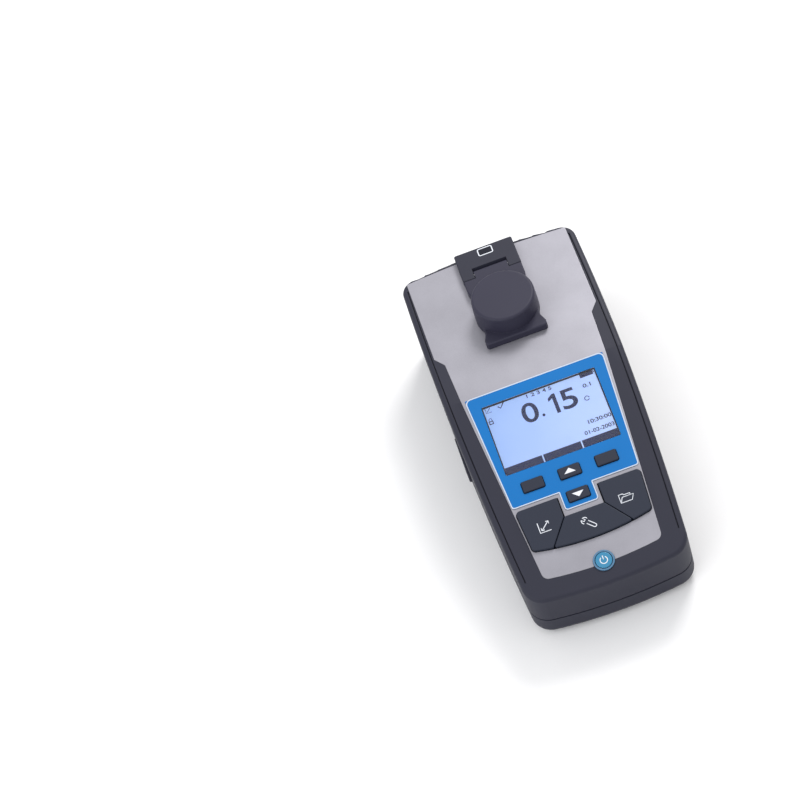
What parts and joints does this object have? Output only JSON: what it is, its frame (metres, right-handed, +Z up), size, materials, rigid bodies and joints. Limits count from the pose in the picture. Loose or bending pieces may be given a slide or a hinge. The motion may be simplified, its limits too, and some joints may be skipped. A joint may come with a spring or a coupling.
{
  "type": "turbidity meter",
  "caption": "Handheld turbidity meter with a sloping keypad face, lit display, hinged round light-shield lid over a sample cell well, and a battery door.",
  "frame": {"origin": "middle of the footprint on the plane that the rubber feet stand on, with the meter lying on its back", "axes": "+X to the right of the keypad, +Y from the keypad towards the sample lid, +Z up out of the face"},
  "size_m": [0.107, 0.229, 0.077],
  "materials": {
    "case_plastic": "fine satin texture",
    "silver_sheet": "satin, fine metallic grain",
    "blue_film": "satin",
    "clear_window": "clear",
    "display_glass": "lit display",
    "white_plastic": "matte",
    "key_plastic": "satin",
    "power_plastic": "satin",
    "ring_plastic": "translucent satin",
    "black_rubber": "matte",
    "black_plastic": "matte black inside",
    "steel": "plated",
    "lens_glass": "polished",
    "board_green": "lacquered",
    "component_black": "matte",
    "cell_wrap": "printed sleeve, bare"
  },
  "bodies": {
    "case": {"front_housing": "case_plastic", "rear_housing": "case_plastic", "hinge_block": "case_plastic", "face_panel": "silver_sheet", "blue_panel": "blue_film", "display_window": "clear_window", "lcd_panel": "display_glass", "backlight": "white_plastic", "lcd_frame": "white_plastic", "power_ring": "ring_plastic", "housing_seal": "black_rubber", "rubber_feet": "black_rubber", "keypad_mat": "black_rubber", "cell_holder": "black_plastic", "optics_block": "black_plastic", "battery_tray": "black_plastic", "port_connector": "black_plastic", "housing_screws": "steel", "board_screws": "steel", "optics_screws": "steel", "hinge_pin": "steel", "battery_contacts": "steel", "battery_springs": "steel", "transmit_detector": "steel", "scatter_detector": "steel", "source_lamp": "steel", "beam_lenses": "lens_glass", "main_board": "board_green", "sensor_boards": "board_green", "board_parts": "component_black", "key_switches": "component_black", "batteries": "cell_wrap"},
    "lid": {"lid": "case_plastic", "lid_seal": "black_rubber"},
    "battery_door": {"battery_door": "case_plastic", "door_screws": "steel"},
    "side_port_cap": {"side_port_cap": "case_plastic"},
    "softkey_left": {"softkey_left": "key_plastic"},
    "softkey_right": {"softkey_right": "key_plastic"},
    "key_up": {"key_up": "key_plastic"},
    "key_down": {"key_down": "key_plastic"},
    "key_calibrate": {"key_calibrate": "key_plastic"},
    "key_tools": {"key_tools": "key_plastic"},
    "key_data": {"key_data": "key_plastic"},
    "power_button": {"power_button": "power_plastic"}
  },
  "joints": [
    {"name": "lid_hinge", "type": "hinge", "parent": "case", "child": "lid", "pos_m": [0, 0.096, 0.0635], "axis": [-1, 0, 0], "range_deg": [0, 115]},
    {"name": "battery_door_lift", "type": "slide", "parent": "case", "child": "battery_door", "axis": [0, 0, -1], "range_m": [0, 0.02]},
    {"name": "side_port_cap_pull", "type": "slide", "parent": "case", "child": "side_port_cap", "axis": [-1, 0, 0], "range_m": [0, 0.012]},
    {"name": "softkey_left_press", "type": "slide", "parent": "case", "child": "softkey_left", "axis": [0, 0.2011, -0.9796], "range_m": [0, 0.0006], "stiffness_N_per_m": 2500},
    {"name": "softkey_right_press", "type": "slide", "parent": "case", "child": "softkey_right", "axis": [0, 0.2011, -0.9796], "range_m": [0, 0.0006], "stiffness_N_per_m": 2500},
    {"name": "key_up_press", "type": "slide", "parent": "case", "child": "key_up", "axis": [0, 0.2011, -0.9796], "range_m": [0, 0.0006], "stiffness_N_per_m": 2500},
    {"name": "key_down_press", "type": "slide", "parent": "case", "child": "key_down", "axis": [0, 0.2011, -0.9796], "range_m": [0, 0.0006], "stiffness_N_per_m": 2500},
    {"name": "key_calibrate_press", "type": "slide", "parent": "case", "child": "key_calibrate", "axis": [0, 0.2011, -0.9796], "range_m": [0, 0.0006], "stiffness_N_per_m": 2500},
    {"name": "key_tools_press", "type": "slide", "parent": "case", "child": "key_tools", "axis": [0, 0.2011, -0.9796], "range_m": [0, 0.0006], "stiffness_N_per_m": 2500},
    {"name": "key_data_press", "type": "slide", "parent": "case", "child": "key_data", "axis": [0, 0.2011, -0.9796], "range_m": [0, 0.0006], "stiffness_N_per_m": 2500},
    {"name": "power_button_press", "type": "slide", "parent": "case", "child": "power_button", "axis": [0, 0.2011, -0.9796], "range_m": [0, 0.0006], "stiffness_N_per_m": 2500}
  ]
}
